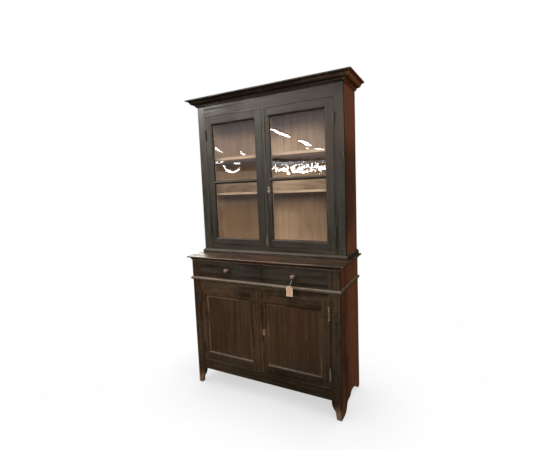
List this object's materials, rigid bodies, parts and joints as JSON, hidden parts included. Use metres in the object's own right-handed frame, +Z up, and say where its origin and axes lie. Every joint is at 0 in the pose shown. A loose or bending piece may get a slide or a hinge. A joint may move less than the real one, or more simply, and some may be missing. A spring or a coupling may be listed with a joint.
{
  "type": "bookcase cabinet",
  "caption": "Full-height cabinet: a glazed bookcase set back on a deeper cupboard with drawers, panelled doors and bracket feet.",
  "frame": {"origin": "on the floor, at the middle of the overall width and depth", "axes": "+Z up, doors face -Y, +X to the right seen from the front"},
  "size_m": [1.31, 0.4875, 2.232],
  "materials": {
    "ebonised_wood": "satin, black-green paint over wood",
    "worn_ebonised_wood": "satin, rubbed black paint over brown wood",
    "worn_moulding": "rubbed paint, bare wood on the arris",
    "stained_side_wood": "satin, red-brown stain",
    "counter_wood": "worn wax",
    "interior_wood": "bare, matt",
    "old_glass": "clear, slightly rippled",
    "worn_iron": "worn",
    "old_brass": "worn, pale",
    "knob_wood": "satin, handled",
    "tag_card": "matt buff card",
    "tag_string": "cotton string"
  },
  "bodies": {
    "cabinet": {"upper_side_left": "stained_side_wood", "upper_side_right": "stained_side_wood", "upper_top_board": "interior_wood", "upper_bottom_board": "interior_wood", "upper_back_boards": "interior_wood", "upper_face_stiles": "ebonised_wood", "upper_face_rails": "ebonised_wood", "cornice_front": "ebonised_wood", "cornice_returns": "stained_side_wood", "upper_base_moulding": "worn_moulding", "upper_shelves": "interior_wood", "shelf_battens": "interior_wood", "counter_top": "counter_wood", "lower_side_left": "stained_side_wood", "lower_side_right": "stained_side_wood", "lower_face_stiles": "worn_ebonised_wood", "lower_apron": "worn_ebonised_wood", "door_head_rail": "worn_ebonised_wood", "drawer_top_rail": "worn_ebonised_wood", "drawer_divider": "worn_ebonised_wood", "waist_moulding": "worn_moulding", "lower_bottom_board": "interior_wood", "lower_back_boards": "interior_wood", "lower_shelf": "interior_wood", "drawer_runners": "interior_wood", "case_hinge_leaves": "worn_iron"},
    "upper_left_door": {"upper_left_door_stiles": "ebonised_wood", "upper_left_door_rails": "ebonised_wood", "upper_left_glass": "old_glass", "upper_left_glazing_beads": "interior_wood", "upper_left_hinge_leaves": "worn_iron"},
    "upper_right_door": {"upper_right_door_stiles": "ebonised_wood", "upper_right_door_rails": "ebonised_wood", "upper_right_glass": "old_glass", "upper_right_glazing_beads": "interior_wood", "upper_right_hinge_leaves": "worn_iron", "upper_astragal": "ebonised_wood", "upper_escutcheon": "old_brass", "upper_lock_case": "worn_iron"},
    "upper_bolt": {"upper_lock_bolt": "old_brass"},
    "lower_left_door": {"lower_left_door_stiles": "worn_ebonised_wood", "lower_left_door_rails": "worn_ebonised_wood", "lower_left_panel": "worn_ebonised_wood", "lower_left_hinge_leaves": "worn_iron"},
    "lower_right_door": {"lower_right_door_stiles": "worn_ebonised_wood", "lower_right_door_rails": "worn_ebonised_wood", "lower_right_panel": "worn_ebonised_wood", "lower_right_hinge_leaves": "worn_iron", "lower_astragal": "worn_ebonised_wood", "lower_escutcheon": "old_brass", "lower_lock_case": "worn_iron"},
    "lower_bolt": {"lower_lock_bolt": "old_brass"},
    "left_drawer": {"left_drawer_front": "worn_ebonised_wood", "left_drawer_box": "interior_wood", "left_drawer_knob": "knob_wood"},
    "right_drawer": {"right_drawer_front": "worn_ebonised_wood", "right_drawer_box": "interior_wood", "right_drawer_knob": "knob_wood"},
    "swing_tag": {"tag_card": "tag_card", "tag_string": "tag_string"}
  },
  "joints": [
    {"name": "upper_left_door_hinge", "type": "hinge", "parent": "cabinet", "child": "upper_left_door", "pos_m": [-0.5192, -0.0479, 1.5915], "axis": [0, 0, -1], "range_deg": [0, 165]},
    {"name": "upper_right_door_hinge", "type": "hinge", "parent": "cabinet", "child": "upper_right_door", "pos_m": [0.5192, -0.0479, 1.5915], "axis": [0, 0, 1], "range_deg": [0, 165]},
    {"name": "lower_left_door_hinge", "type": "hinge", "parent": "cabinet", "child": "lower_left_door", "pos_m": [-0.5192, -0.2139, 0.503], "axis": [0, 0, -1], "range_deg": [0, 165]},
    {"name": "lower_right_door_hinge", "type": "hinge", "parent": "cabinet", "child": "lower_right_door", "pos_m": [0.5192, -0.2139, 0.503], "axis": [0, 0, 1], "range_deg": [0, 165]},
    {"name": "left_drawer_slide", "type": "slide", "parent": "cabinet", "child": "left_drawer", "axis": [0, -1, 0], "range_m": [0, 0.3]},
    {"name": "right_drawer_slide", "type": "slide", "parent": "cabinet", "child": "right_drawer", "axis": [0, -1, 0], "range_m": [0, 0.3]},
    {"name": "upper_lock_throw", "type": "slide", "parent": "upper_right_door", "child": "upper_bolt", "axis": [-1, 0, 0], "range_m": [0, 0.008]},
    {"name": "lower_lock_throw", "type": "slide", "parent": "lower_right_door", "child": "lower_bolt", "axis": [-1, 0, 0], "range_m": [0, 0.008]},
    {"name": "tag_swing", "type": "hinge", "parent": "right_drawer", "child": "swing_tag", "pos_m": [0.276, -0.2165, 0.935], "axis": [0, 1, 0], "range_deg": [-40, 40]}
  ]
}
